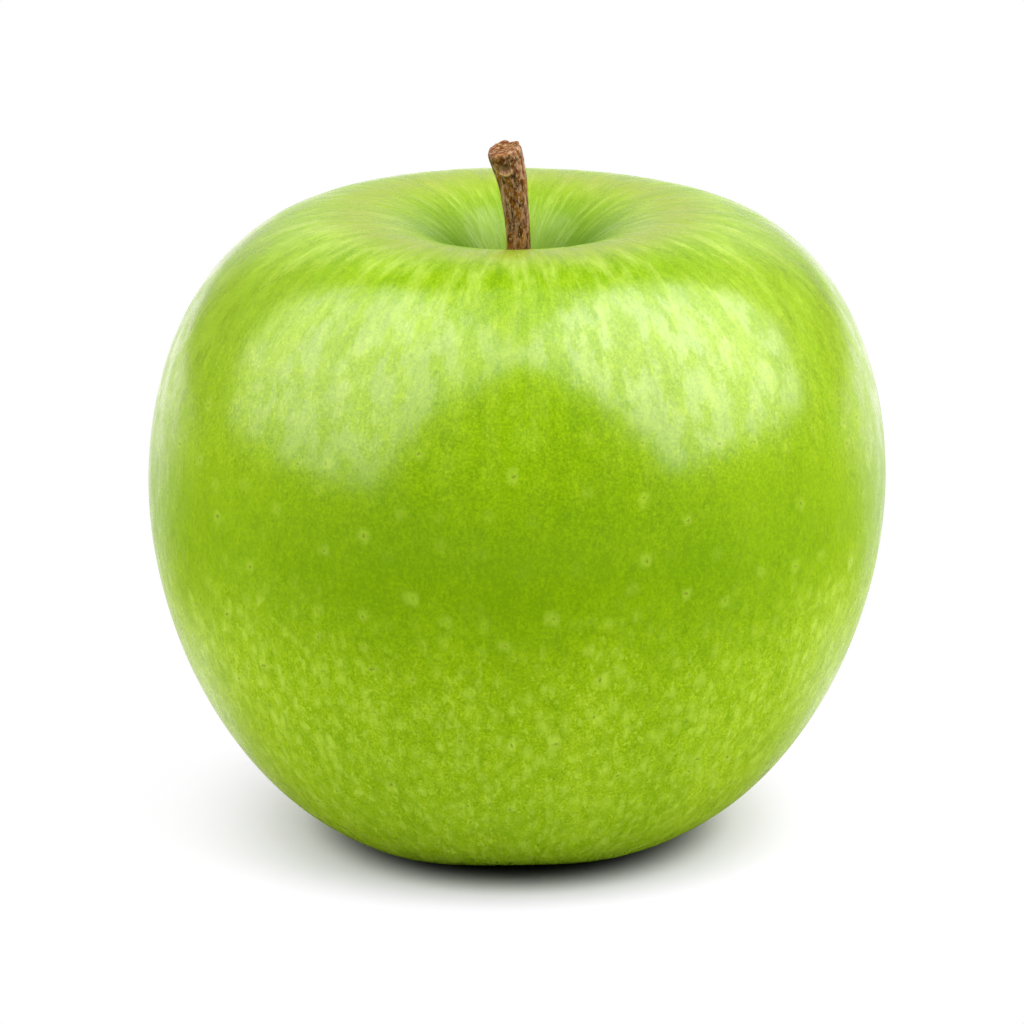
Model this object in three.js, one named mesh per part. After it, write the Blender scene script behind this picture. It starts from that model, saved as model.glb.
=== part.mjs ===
// A green eating apple with its woody stem, and the dried calyx of its flower in the base.
// Millimetres, +Z up. The origin is the middle of the base, on the surface that the apple stands on.
import * as THREE from "three";

// Fruit: heights above the surface, and radii from the upright axis.
const EQUATOR_RADIUS = 40;
const EQUATOR_HEIGHT = 39.2;
const CREST_RADIUS = 18.3; // the highest ring, round the stem cavity
const CREST_HEIGHT = 68.8;
const RING_RADIUS = 13.7; // the lowest ring, round the calyx basin
const SETTLE = 0.45; // how much of the lowest lobe is pressed flat by the weight on it
const CAVITY_FLOOR_HEIGHT = 54.2;
const BASIN_FLOOR_HEIGHT = 7;

// How far each arc of the half outline runs on along its tangent before it turns.
const RING_REACH = 13.7;
const BELLY_REACH = 19.2;
const SHOULDER_REACH = 14.9;
const CREST_REACH_OUT = 14.5;
const CREST_REACH_IN = 12.4;
const THROAT_REACH = 3;
const BASIN_LIP_REACH = 4.4;
const BASIN_FLOOR_REACH = 4.4;

// Five lobes, one to each seed chamber. The fruit stands on the lower ends of three of them.
const LOBES = 5;
const LOBE_ANGLE = THREE.MathUtils.degToRad(160);
const BASE_LOBE_RISE = 0.5;
const SIDE_LOBE_SHARE = 0.012;
const BASE_RISE_RADIUS = 14; // where the base's rises are at their full height
const BASE_SADDLE_RISE = 0.5; // the base ring is lowest along one line across it
const BASE_SADDLE_ANGLE = THREE.MathUtils.degToRad(51);
const CREST_SADDLE_RISE = 0.16; // the crest is highest along one line across it
const CREST_SADDLE_ANGLE = THREE.MathUtils.degToRad(-21);
const CREST_RISE_RADIUS = 19;
const LEAN = 0.27; // how far the axis leans along +X between the equator and twice its height

// Stem: it rises out of its socket, then bends over to the end where it came off the tree.
const STEM_FOOT = new THREE.Vector3(0.12, 0, 50.3);
const STEM_TIP = new THREE.Vector3(-1.45, -0.5, 75.95);
const STEM_FOOT_REACH = new THREE.Vector3(0.55, 0, 18.9);
const STEM_TIP_REACH = new THREE.Vector3(-1.05, -0.5, 3.8);
const STEM_RADII = [1.25, 1.25, 1.26, 1.27, 1.31, 1.5, 1.83]; // from the foot to the tip
const SOCKET_GAP = 0.35;
const SOCKET_RADIUS = 1.65;

// Calyx: a short tube in the floor of the basin, with five sepals round its rim.
const TUBE_RADIUS = 1.9;
const TUBE_DEPTH = 2;
const CALYX_GAP = 0.35;
const SEPALS = 5;
const SEPAL_LENGTH = 6.2;
const SEPAL_WIDTH = 2.6;
const SEPAL_TIP_WIDTH = 0.5;
const SEPAL_THICKNESS = 0.5;
const SEPAL_ROOT_RADIUS = 2.5;
const SEPAL_PINCH = 0.3; // how far the blade leans in before it curls out
const SEPAL_DROP = 4.4;
const SEPAL_CURL = 2.6;
const TUFT_RADII = [0.9, 1.3, 1.35]; // from the free end to the root
const TUFT_LENGTH = 5;

const FRUIT_SIDES = 60;
const STEM_SIDES = 16;
const BASIN_STEPS = 9;
const BELLY_STEPS = 17;
const SHOULDER_STEPS = 13;
const CAVITY_STEPS = 12;
const STEM_STEPS = 18;
const SEPAL_STEPS = 8;

const skin = new THREE.MeshStandardMaterial({ name: "skin", color: 0x8fc01c, roughness: 0.3 });
const bark = new THREE.MeshStandardMaterial({ name: "bark", color: 0x6e4a26, roughness: 0.8 });
const driedSepal = new THREE.MeshStandardMaterial({ name: "dried_sepal", color: 0x6b5a34, roughness: 0.9 });
const driedFlower = new THREE.MeshStandardMaterial({ name: "dried_flower", color: 0x4a3722, roughness: 0.9 });

for (const material of [skin, bark, driedSepal, driedFlower]) material.metalness = 0;

const at = (radius, height) => new THREE.Vector2(radius, height);
const arc = (from, fromHandle, toHandle, to, steps) =>
  new THREE.CubicBezierCurve(from, fromHandle, toHandle, to).getPoints(steps);

// Turns a half outline, given from the lower end of the axis to the upper, round +Z.
function turned(outline, sides) {
  return new THREE.LatheGeometry(outline, sides).rotateX(Math.PI / 2);
}

// Moves every vertex of a geometry by a rule from point to point.
function reshaped(geometry, rule) {
  const position = geometry.getAttribute("position");
  const point = new THREE.Vector3();
  for (let i = 0; i < position.count; i++) {
    const moved = rule(point.fromBufferAttribute(position, i));
    position.setXYZ(i, moved.x, moved.y, moved.z);
  }
  geometry.computeVertexNormals();
  return geometry;
}

// Half outline of the fruit, from the calyx tube under the middle to the stem socket above it.
function fruitOutline() {
  const basin = arc(
    at(TUBE_RADIUS, BASIN_FLOOR_HEIGHT),
    at(TUBE_RADIUS + BASIN_FLOOR_REACH, BASIN_FLOOR_HEIGHT),
    at(RING_RADIUS - BASIN_LIP_REACH, -SETTLE),
    at(RING_RADIUS, -SETTLE),
    BASIN_STEPS,
  );
  const belly = arc(
    at(RING_RADIUS, -SETTLE),
    at(RING_RADIUS + RING_REACH, -SETTLE),
    at(EQUATOR_RADIUS, EQUATOR_HEIGHT - BELLY_REACH),
    at(EQUATOR_RADIUS, EQUATOR_HEIGHT),
    BELLY_STEPS,
  );
  const shoulder = arc(
    at(EQUATOR_RADIUS, EQUATOR_HEIGHT),
    at(EQUATOR_RADIUS, EQUATOR_HEIGHT + SHOULDER_REACH),
    at(CREST_RADIUS + CREST_REACH_OUT, CREST_HEIGHT),
    at(CREST_RADIUS, CREST_HEIGHT),
    SHOULDER_STEPS,
  );
  const cavity = arc(
    at(CREST_RADIUS, CREST_HEIGHT),
    at(CREST_RADIUS - CREST_REACH_IN, CREST_HEIGHT),
    at(SOCKET_RADIUS, CAVITY_FLOOR_HEIGHT + THROAT_REACH),
    at(SOCKET_RADIUS, CAVITY_FLOOR_HEIGHT),
    CAVITY_STEPS,
  );
  const tubeTop = BASIN_FLOOR_HEIGHT + TUBE_DEPTH;
  const socketFloor = STEM_FOOT.z - SOCKET_GAP;
  return [
    at(0, tubeTop),
    at(TUBE_RADIUS, tubeTop),
    ...basin,
    ...belly.slice(1),
    ...shoulder.slice(1),
    ...cavity.slice(1),
    at(SOCKET_RADIUS, socketFloor),
    at(0, socketFloor),
  ];
}

// 0 on the axis, 1 at the given radius, and back towards 0 further out.
function ringShare(radius, peak) {
  const share = (radius / peak) ** 2;
  return share * Math.exp(1 - share);
}

// 0 at an angle and at each of the given number of even turns from it, 1 halfway between them.
const between = (angle, from, count) => 0.5 - 0.5 * Math.cos(count * (angle - from));

// Raises the base between the lobes and across the saddle, and presses flat what it stands on.
function lobed(point) {
  const angle = Math.atan2(point.y, point.x);
  const radius = Math.hypot(point.x, point.y);
  const low = Math.max(0, 1 - point.z / EQUATOR_HEIGHT) ** 2;
  const high = Math.max(0, (point.z - EQUATOR_HEIGHT) / (CREST_HEIGHT - EQUATOR_HEIGHT)) ** 2;
  const lobeGap = between(angle, LOBE_ANGLE, LOBES);
  const baseRise = BASE_LOBE_RISE * lobeGap + BASE_SADDLE_RISE * between(angle, BASE_SADDLE_ANGLE, 2);
  const crestRise = CREST_SADDLE_RISE * (1 - 2 * between(angle, CREST_SADDLE_ANGLE, 2));
  const drawnIn = radius * (1 - SIDE_LOBE_SHARE * lobeGap * low);
  const height =
    point.z +
    baseRise * low * ringShare(radius, BASE_RISE_RADIUS) +
    crestRise * high * ringShare(radius, CREST_RISE_RADIUS);
  return new THREE.Vector3(
    drawnIn * Math.cos(angle) + LEAN * (point.z / EQUATOR_HEIGHT - 1),
    drawnIn * Math.sin(angle),
    Math.max(0, height),
  );
}

function fruit() {
  const mesh = new THREE.Mesh(reshaped(turned(fruitOutline(), FRUIT_SIDES), lobed), skin);
  mesh.name = "fruit";
  return mesh;
}

function stem() {
  const line = new THREE.CubicBezierCurve3(
    STEM_FOOT,
    STEM_FOOT.clone().add(STEM_FOOT_REACH),
    STEM_TIP.clone().sub(STEM_TIP_REACH),
    STEM_TIP,
  );
  const length = line.getLength();
  const side = new THREE.SplineCurve(
    STEM_RADII.map((radius, i) => at(radius, (i / (STEM_RADII.length - 1)) * length)),
  );
  const outline = [at(0, 0), ...side.getPoints(STEM_STEPS), at(0, length)];
  const bent = reshaped(turned(outline, STEM_SIDES), (point) => {
    const share = THREE.MathUtils.clamp(point.z / length, 0, 1);
    const along = line.getTangentAt(share);
    const across = new THREE.Vector3(0, 1, 0).cross(along).normalize();
    const back = along.clone().cross(across);
    return line.getPointAt(share).addScaledVector(across, point.x).addScaledVector(back, point.y);
  });
  const mesh = new THREE.Mesh(bent, bark);
  mesh.name = "stem";
  return mesh;
}

// One dried sepal: a tapered blade that hangs from the rim of the calyx tube and curls outwards.
function sepal(index) {
  const root = BASIN_FLOOR_HEIGHT - CALYX_GAP;
  const curl = new THREE.CubicBezierCurve(
    at(SEPAL_ROOT_RADIUS, root),
    at(SEPAL_ROOT_RADIUS - SEPAL_PINCH, root - SEPAL_DROP / 2),
    at(SEPAL_ROOT_RADIUS, root - SEPAL_DROP),
    at(SEPAL_ROOT_RADIUS + SEPAL_CURL, root - SEPAL_DROP),
  );
  const blade = new THREE.BoxGeometry(SEPAL_WIDTH, SEPAL_THICKNESS, SEPAL_LENGTH, 2, 1, SEPAL_STEPS);
  reshaped(blade, (point) => {
    const share = THREE.MathUtils.clamp(point.z / SEPAL_LENGTH + 0.5, 0, 1);
    const centre = curl.getPointAt(share);
    const along = curl.getTangentAt(share);
    const taper = THREE.MathUtils.lerp(1, SEPAL_TIP_WIDTH / SEPAL_WIDTH, share * share);
    return new THREE.Vector3(
      centre.x - along.y * point.y,
      point.x * taper,
      centre.y + along.x * point.y,
    );
  });
  const mesh = new THREE.Mesh(blade, driedSepal);
  mesh.name = `sepal_${index + 1}`;
  mesh.rotation.z = LOBE_ANGLE + ((index + 0.5) / SEPALS) * 2 * Math.PI;
  return mesh;
}

// The withered stamens and styles, one tapered tuft in the calyx tube.
function stamenTuft() {
  const root = BASIN_FLOOR_HEIGHT + TUBE_DEPTH - CALYX_GAP;
  const freeEnd = root - TUFT_LENGTH;
  const step = TUFT_LENGTH / (TUFT_RADII.length - 1);
  const side = TUFT_RADII.map((radius, i) => at(radius, freeEnd + i * step));
  const mesh = new THREE.Mesh(turned([at(0, freeEnd), ...side, at(0, root)], STEM_SIDES), driedFlower);
  mesh.name = "stamen_tuft";
  return mesh;
}

const apple = new THREE.Group();
apple.add(fruit(), stem(), stamenTuft());
for (let i = 0; i < SEPALS; i++) apple.add(sepal(i));

export default apple;
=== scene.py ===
# A green eating apple on a plain pale floor, in metres and in the frame of its CAD model.
# Each piece has its own operator, and main() at the end calls them in order.
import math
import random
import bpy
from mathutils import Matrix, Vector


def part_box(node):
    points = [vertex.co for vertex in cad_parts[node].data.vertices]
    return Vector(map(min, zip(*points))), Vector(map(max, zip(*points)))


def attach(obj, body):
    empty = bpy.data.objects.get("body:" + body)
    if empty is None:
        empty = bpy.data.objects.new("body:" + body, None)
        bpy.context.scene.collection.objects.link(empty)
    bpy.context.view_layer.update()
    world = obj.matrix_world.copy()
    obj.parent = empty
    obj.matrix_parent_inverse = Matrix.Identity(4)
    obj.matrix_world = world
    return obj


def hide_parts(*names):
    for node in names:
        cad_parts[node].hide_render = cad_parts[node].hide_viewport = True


bl_info = {
    "name": "Green Apple",
    "version": (1, 0, 0),
    "blender": (4, 5, 0),
    "location": "View3D > Sidebar > Apple",
    "description": "Builds a green eating apple with its stem and dried calyx, in a small photo studio",
    "category": "Add Mesh",
}

from types import SimpleNamespace

import bmesh
import bpy
from mathutils import Vector

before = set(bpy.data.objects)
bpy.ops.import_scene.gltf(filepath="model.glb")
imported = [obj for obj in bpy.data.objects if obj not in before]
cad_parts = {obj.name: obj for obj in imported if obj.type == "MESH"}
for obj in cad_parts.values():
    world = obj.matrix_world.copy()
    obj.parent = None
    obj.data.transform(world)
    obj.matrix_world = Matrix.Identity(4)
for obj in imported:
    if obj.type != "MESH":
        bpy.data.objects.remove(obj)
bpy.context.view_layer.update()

MM = 0.001
FULL_TURN = 2 * math.pi

# What the CAD model says. Its fruit is highest where the crest's saddle lifts the crest ring.
FRUIT_LOW, FRUIT_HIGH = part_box("fruit")
TUFT_LOW, TUFT_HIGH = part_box("stamen_tuft")
SEPAL_NODES = sorted(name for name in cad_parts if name.startswith("sepal_"))
CREST_SADDLE_RISE = 0.16 * MM
CREST_SADDLE_ANGLE = math.radians(-21)
CREST_RISE_RADIUS = 19 * MM
EQUATOR_RADIUS = (FRUIT_HIGH.x - FRUIT_LOW.x) / 2
CREST_HEIGHT = FRUIT_HIGH.z - CREST_SADDLE_RISE

# The fruit's other landmarks: radii from the upright axis, and heights above the floor.
# The ring that it rests on is drawn lower than the floor by the settle, and flattened there.
EQUATOR_HEIGHT = 39.2 * MM
CREST_RADIUS = 18.3 * MM
RING_RADIUS = 13.7 * MM
SETTLE = 0.45 * MM
CAVITY_FLOOR_HEIGHT = 54.2 * MM
BASIN_FLOOR_HEIGHT = 7 * MM
THROAT_RADIUS = 1.45 * MM
SOCKET_FLOOR_HEIGHT = 50 * MM
TUBE_RADIUS = 1.9 * MM
TUBE_DEPTH = 2 * MM

# How far each arc of the half outline runs on along its tangent before it turns.
RING_REACH = 13.7 * MM
BELLY_REACH = 19.2 * MM
SHOULDER_REACH = 14.9 * MM
CREST_REACH_OUT = 14.5 * MM
CREST_REACH_IN = 12.4 * MM
THROAT_REACH = 3 * MM
BASIN_LIP_REACH = 4.4 * MM
BASIN_FLOOR_REACH = 4.4 * MM

# The five lobes, one to each seed chamber.
LOBES = 5
LOBE_ANGLE = math.radians(160)
BASE_LOBE_RISE = 0.5 * MM
SIDE_LOBE_SHARE = 0.012
BASE_RISE_RADIUS = 14 * MM
BASE_SADDLE_RISE = 0.5 * MM
BASE_SADDLE_ANGLE = math.radians(51)
LEAN = 0.27 * MM

# How many points each arc of an outline is split into.
OUTLINE_STEPS = 512

# Spots on the skin, in millimetres: the pores lie far apart, the dapples close together.
PORE_SPACING = 5.0
DAPPLE_SPACING = 1.65

# The stem's middle line: a cubic arc from its foot in the flesh to its tip.
STEM_FOOT = Vector((0.12, 0, 50.3)) * MM
STEM_FOOT_HANDLE = Vector((0.67, 0, 69.2)) * MM
STEM_TIP_HANDLE = Vector((-0.4, 0, 72.15)) * MM
STEM_TIP = Vector((-1.45, -0.5, 75.95)) * MM

# The stem's radius from foot to rim, and how far along it each of the middle ones is.
# The flare lies below the tip by the rim's depth.
STEM_FOOT_RADIUS = 1.3 * MM
STEM_SWELL_RADIUS = 1.42 * MM
STEM_SWELL = 3.8 * MM
STEM_WAIST_RADIUS = 1.27 * MM
STEM_WAIST = 7.5 * MM
STEM_NECK_RADIUS = 1.31 * MM
STEM_NECK = 17 * MM
STEM_FLARE_RADIUS = 1.83 * MM
STEM_RIM_RADIUS = 1.4 * MM
STEM_RIM_DEPTH = 0.5 * MM

# The old bud's scar in front of the stem's tip, in millimetres.
SCAR_LEFT = 0.33
SCAR_BELOW_TIP = 1.75
SCAR_HALF_WIDTH = 0.62
SCAR_HALF_HEIGHT = 0.72

# A sepal hangs from the rim of the calyx tube and curls outwards.
SEPAL_ROOT_RADIUS = 2.5 * MM
SEPAL_PINCH = 0.3 * MM
SEPAL_DROP = 4.4 * MM
SEPAL_CURL = 2.6 * MM
SEPAL_HALF_WIDTH = 1.3 * MM
SEPAL_HALF_THICKNESS = 0.17 * MM
SEPAL_SIDES = 40
SEPAL_STEPS = 72
CALYX_GAP = 0.35 * MM
HAIR_LENGTH = 0.45 * MM
HAIR_RADIUS = 0.018 * MM

# The withered stamens and styles stand in a ring, and each ends in a small anther.
STAMENS = 18
STAMEN_RING_RADIUS = 0.75 * MM
STAMEN_RADIUS = 0.12 * MM
ANTHER_RADIUS = 0.3 * MM


# ---------------------------------------------------------------------------------------------
# Nodes as expressions


class Value:
    """A node's output, which can stand in a sum as a number does."""

    def __init__(self, net, socket):
        self.net = net
        self.socket = socket

    def other(self, name):
        """Another output of the same node."""
        return Value(self.net, self.socket.node.outputs[name])

    def __add__(self, other):
        return self.net.math("ADD", self, other)

    def __sub__(self, other):
        return self.net.math("SUBTRACT", self, other)

    def __rsub__(self, other):
        return self.net.math("SUBTRACT", other, self)

    def __mul__(self, other):
        return self.net.math("MULTIPLY", self, other)

    def __truediv__(self, other):
        return self.net.math("DIVIDE", self, other)

    def __pow__(self, power):
        return self.net.math("POWER", self, power)

    __radd__ = __add__
    __rmul__ = __mul__


class Net:
    """Adds nodes to one tree, of a material or of geometry."""

    def __init__(self, tree):
        self.tree = tree

    def node(self, kind, settings=None, values=None, output=0):
        """Adds a node, makes its settings, then gives its sockets their values or links.

        A colour is given by its three numbers.
        """
        made = self.tree.nodes.new(kind)
        for name, setting in (settings or {}).items():
            if name == "stops":
                self.set_stops(made.color_ramp, setting)
            else:
                setattr(made, name, setting)
        for key, value in (values or {}).items():
            socket = made.inputs[key]
            if isinstance(value, Value):
                self.tree.links.new(value.socket, socket)
            elif socket.type == "RGBA":
                socket.default_value = (*value, 1)
            else:
                socket.default_value = value
        return Value(self, made.outputs[output]) if made.outputs else None

    @staticmethod
    def set_stops(ramp, stops):
        """Gives a colour ramp its stops, each a place from 0 to 1 and a colour."""
        while len(ramp.elements) > 1:
            ramp.elements.remove(ramp.elements[-1])
        (place, colour), *others = stops
        ramp.elements[0].position = place
        ramp.elements[0].color = (*colour, 1)
        for place, colour in others:
            ramp.elements.new(place).color = (*colour, 1)

    def math(self, operation, *values):
        return self.node("ShaderNodeMath", {"operation": operation}, dict(enumerate(values)))

    def vector(self, operation, *values):
        made = self.node("ShaderNodeVectorMath", {"operation": operation}, dict(enumerate(values)))
        return made.other("Value") if operation == "LENGTH" else made

    def scaled(self, vector, scale):
        """A vector times one number."""
        return self.node("ShaderNodeVectorMath", {"operation": "SCALE"}, {0: vector, "Scale": scale})

    def joined(self, x, y, z):
        return self.node("ShaderNodeCombineXYZ", values={"X": x, "Y": y, "Z": z})

    def split(self, vector):
        x = self.node("ShaderNodeSeparateXYZ", values={"Vector": vector})
        return x, x.other("Y"), x.other("Z")

    def step(self, value, low, high, first=0.0, last=1.0):
        """Goes smoothly from first to last as the value goes from low to high."""
        return self.node(
            "ShaderNodeMapRange",
            {"interpolation_type": "SMOOTHSTEP"},
            {"Value": value, "From Min": low, "From Max": high, "To Min": first, "To Max": last},
        )

    def blend(self, share, under, over):
        """Lays one colour over another."""
        return self.node("ShaderNodeMix", {"data_type": "RGBA"}, {0: share, 6: under, 7: over}, output=2)

    def noise(self, place, size, detail=2.0, rough=0.5, stretch=(1, 1, 1), seed=0.0):
        """Soft noise from 0 to 1 whose lumps are about the given size."""
        spread = self.vector("MULTIPLY", place, Vector(stretch) / size)
        values = {"Vector": spread, "W": seed, "Scale": 1.0, "Detail": detail, "Roughness": rough}
        return self.node("ShaderNodeTexNoise", {"noise_dimensions": "4D"}, values)

    def sample(self, curve, share):
        """The point of a curve at a share of its length."""
        return self.node(
            "GeometryNodeSampleCurve",
            {"mode": "FACTOR", "use_all_curves": True},
            {"Curves": curve, "Factor": share},
            output="Position",
        )

    def random_vector(self, low, high, seed):
        """A vector of its own for each point or instance, between two vectors."""
        values = {0: low, 1: high, "Seed": seed}
        return self.node("FunctionNodeRandomValue", {"data_type": "FLOAT_VECTOR"}, values)

    def random_number(self, low, high, seed):
        """A number of its own for each point or instance, between two numbers."""
        values = {2: low, 3: high, "Seed": seed}
        return self.node("FunctionNodeRandomValue", values=values, output=1)

    def together(self, *parts):
        """Joins parts of a geometry."""
        join = self.node("GeometryNodeJoinGeometry")
        for part in parts:
            self.tree.links.new(part.socket, join.socket.node.inputs[0])
        return join

    def made_of(self, geometry, material):
        """Makes a geometry's instances real and gives it its material."""
        real = self.node("GeometryNodeRealizeInstances", values={"Geometry": geometry})
        return self.node("GeometryNodeSetMaterial", values={"Geometry": real, "Material": material})

    def inlets(self, **kinds):
        """Gives a tree its inputs, whose names are listed by kind, and returns them by name."""
        for kind, names in kinds.items():
            for name in names:
                self.tree.interface.new_socket(name, in_out="INPUT", socket_type="NodeSocket" + kind)
        start = self.node("NodeGroupInput")
        return {name: start.other(name) for names in kinds.values() for name in names}

    def outlet(self, name, value):
        """Gives a geometry tree its one output."""
        self.tree.interface.new_socket(name, in_out="OUTPUT", socket_type="NodeSocketGeometry")
        self.node("NodeGroupOutput", values={0: value})


def grown(name, host, tree, values):
    """Runs a geometry tree on an outline's object and returns its result as a plain mesh object."""
    modifier = host.modifiers.new(name, "NODES")
    modifier.node_group = tree
    for item in tree.interface.items_tree:
        if item.in_out == "INPUT" and item.name in values:
            modifier[item.identifier] = values[item.name]
    host.update_tag()
    depsgraph = bpy.context.evaluated_depsgraph_get()
    mesh = bpy.data.meshes.new_from_object(host.evaluated_get(depsgraph))
    mesh.name = name
    # An empty slot may come before the piece's own material.
    while mesh.materials[0] is None:
        mesh.materials.pop(index=0)
    host.modifiers.remove(modifier)
    outline = host.data
    bpy.data.objects.remove(host)
    bpy.data.curves.remove(outline)
    piece = bpy.data.objects.new(name, mesh)
    bpy.context.scene.collection.objects.link(piece)
    return piece


def outline_host(name, knots):
    """A curve object of one open spline. A knot is its place and its two handles' places."""
    data = bpy.data.curves.new(name, "CURVE")
    data.dimensions = "3D"
    spline = data.splines.new("BEZIER")
    spline.resolution_u = OUTLINE_STEPS
    spline.bezier_points.add(len(knots) - 1)
    for point, (place, before, after) in zip(spline.bezier_points, knots):
        point.handle_left_type = "FREE"
        point.handle_right_type = "FREE"
        point.co = (place[0], 0, place[1])
        point.handle_left = (before[0], 0, before[1])
        point.handle_right = (after[0], 0, after[1])
    host = bpy.data.objects.new(name, data)
    bpy.context.scene.collection.objects.link(host)
    return host


def knot(radius, height, before=(0, 0), after=(0, 0)):
    """A knot of an outline, with how far its two handles reach outwards and upwards from it."""
    return (
        (radius, height),
        (radius + before[0], height + before[1]),
        (radius + after[0], height + after[1]),
    )


def new_material(name):
    """An empty material and the net that fills it."""
    material = bpy.data.materials.new(name)
    material.use_nodes = True
    material.node_tree.nodes.clear()
    return material, Net(material.node_tree)


def finish_material(net, shader):
    """Ends a material in its shader."""
    net.node("ShaderNodeOutputMaterial", values={"Surface": shader})


def finish_surface(net, height, looks, strength=1.0, depth=MM):
    """Ends a material in one shader whose normals follow a fine relief."""
    bump = net.node("ShaderNodeBump", values={"Strength": strength, "Distance": depth, "Height": height})
    finish_material(net, net.node("ShaderNodeBsdfPrincipled", values={**looks, "Normal": bump}))


# ---------------------------------------------------------------------------------------------
# Settings


def length_setting(name, description, default):
    return bpy.props.FloatProperty(
        name=name, description=description, default=default, unit="LENGTH", precision=5
    )


def colour_setting(name, description, default):
    return bpy.props.FloatVectorProperty(
        name=name, description=description, default=default, size=3, subtype="COLOR", min=0, max=1
    )


def amount_setting(name, description, default):
    return bpy.props.FloatProperty(name=name, description=description, default=default, min=0)


class FruitSettings(bpy.types.PropertyGroup):
    equator_radius: length_setting("Equator Radius", "Radius of the widest ring", EQUATOR_RADIUS)
    crest_height: length_setting("Crest Height", "Height of the ring round the stem", CREST_HEIGHT)
    dent_height: length_setting("Dent Height", "Height of the skin's broad unevenness", 0.05 * MM)
    rib_height: length_setting("Rib Height", "Height of the fine ribs near the crest", 0.02 * MM)
    green: colour_setting("Green", "Colour of the skin between its marks", (0.235, 0.4, 0.002))
    pale: colour_setting("Pale Green", "Colour of the skin's pale grain and mottling", (0.4, 0.57, 0.02))
    deep: colour_setting("Deep Green", "Colour of the skin's darkest grain", (0.13, 0.27, 0.001))
    # This colour also paints an even sheen over the upper flanks, as painted light.
    frost_and_sheen: colour_setting("Frost", "Colour of the whitish streaks over the shoulders", (0.44, 0.58, 0.15))
    crest: colour_setting("Crest", "Colour of the dull ring round the cavity", (0.25, 0.31, 0.02))
    # Painted shade: the skin deep in the cavity is darkened towards this colour.
    painted_shade: colour_setting("Painted Cavity Shade", "Colour deep in the stem's cavity", (0.045, 0.14, 0.001))
    dapple: colour_setting("Dapples", "Colour of dapples, flecks and pores' halos", (0.42, 0.6, 0.06))
    pit: colour_setting("Pore Brown", "Colour of the open pores", (0.15, 0.14, 0.02))


class StemSettings(bpy.types.PropertyGroup):
    relief: amount_setting("Bark Relief", "Strength of the bark's lumps and ridges; 0 is smooth", 0.9)
    bark: colour_setting("Bark", "Colour of the bark between its patches", (0.23, 0.075, 0.003))
    weathered: colour_setting("Weathered Bark", "Colour of the bark's flakes", (0.46, 0.26, 0.16))
    russet: colour_setting("Russet", "Colour of the bark's red patches", (0.12, 0.025, 0.008))
    crack: colour_setting("Crack", "Colour deep in the bark's cracks", (0.03, 0.01, 0.005))
    cut: colour_setting("Cut Wood", "Colour of cut wood and of the bark's specks", (0.52, 0.34, 0.14))


class CalyxSettings(bpy.types.PropertyGroup):
    hair_density: amount_setting("Hair Density", "Hairs to a square metre of sepal", 9e6)
    dry: colour_setting("Dry Leaf", "Colour of the dried sepals and stamens", (0.16, 0.115, 0.05))
    withered: colour_setting("Withered", "Colour of the darkest blotches", (0.05, 0.028, 0.012))
    fuzz: colour_setting("Fuzz", "Colour of the pale grain in the dried skin", (0.42, 0.37, 0.24))


class StudioSettings(bpy.types.PropertyGroup):
    left_glow: amount_setting("Left Box", "Radiance of the soft box on the left", 1.4)
    right_glow: amount_setting("Right Box", "Radiance of the soft box on the right", 2.05)
    top_glow: amount_setting("Overhead Panel", "Radiance of the panel overhead", 0.9)
    camera_elevation: bpy.props.FloatProperty(
        name="Camera Elevation",
        description="How high the camera stands, as an angle",
        default=math.radians(16.3),
        subtype="ANGLE",
    )
    camera_distance: length_setting("Camera Distance", "From the camera to its target", 800 * MM)


# ---------------------------------------------------------------------------------------------
# Shapes wrapped from a flat sheet


def flat_sheet(net, sides, steps):
    """A sheet to wrap into a shape, with each point's angle round it and share of the way along it."""
    sheet = net.node(
        "GeometryNodeMeshGrid",
        values={"Size X": 1.0, "Size Y": 1.0, "Vertices X": sides + 1, "Vertices Y": steps + 1},
    )
    across, upward, _ = net.split(net.node("GeometryNodeInputPosition"))
    share = net.math("MINIMUM", net.math("MAXIMUM", upward + 0.5, 0.0), 1.0)
    return sheet, (across + 0.5) * FULL_TURN, share


def with_place(net, geometry, name, place):
    """Keeps a place for the material to read, as an attribute of the points."""
    return net.node(
        "GeometryNodeStoreNamedAttribute",
        {"data_type": "FLOAT_VECTOR", "domain": "POINT"},
        {"Geometry": geometry, "Name": name, "Value": place},
    )


def kept_place(net, name):
    return net.node("GeometryNodeInputNamedAttribute", {"data_type": "FLOAT_VECTOR"}, {"Name": name})


def moved_to(net, geometry, place):
    """Moves a sheet's points into place and closes its seam and its poles."""
    moved = net.node("GeometryNodeSetPosition", values={"Geometry": geometry, "Position": place})
    return net.node("GeometryNodeMergeByDistance", values={"Geometry": moved, "Distance": 0.001 * MM})


def smoothed(net, geometry):
    return net.node("GeometryNodeSetShadeSmooth", values={"Geometry": geometry})


def dressed(net, geometry, lift, material):
    """Raises the surface by a relief and gives it its material."""
    offset = net.scaled(net.node("GeometryNodeInputNormal"), lift)
    uneven = net.node("GeometryNodeSetPosition", values={"Geometry": geometry, "Offset": offset})
    return net.made_of(smoothed(net, uneven), material)


def bell(net, value, middle, width):
    """1 where the value is at the middle, falling to about a third at the width from it."""
    return net.math("EXPONENT", 0 - ((value - middle) / width) ** 2)


def bezier_point(ends, t):
    """Point of a cubic arc from its start, two handles and end."""
    start, leave, arrive, end = ends
    back = 1 - t
    return (
        start * back**3 + leave * (3 * back * back * t) + arrive * (3 * back * t * t) + end * t**3
    )


def arc_length(ends):
    """Length of a cubic arc, in millimetres."""
    points = [bezier_point(ends, i / OUTLINE_STEPS) for i in range(OUTLINE_STEPS + 1)]
    return sum((b - a).length for a, b in zip(points, points[1:])) / MM


# ---------------------------------------------------------------------------------------------
# Fruit


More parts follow.
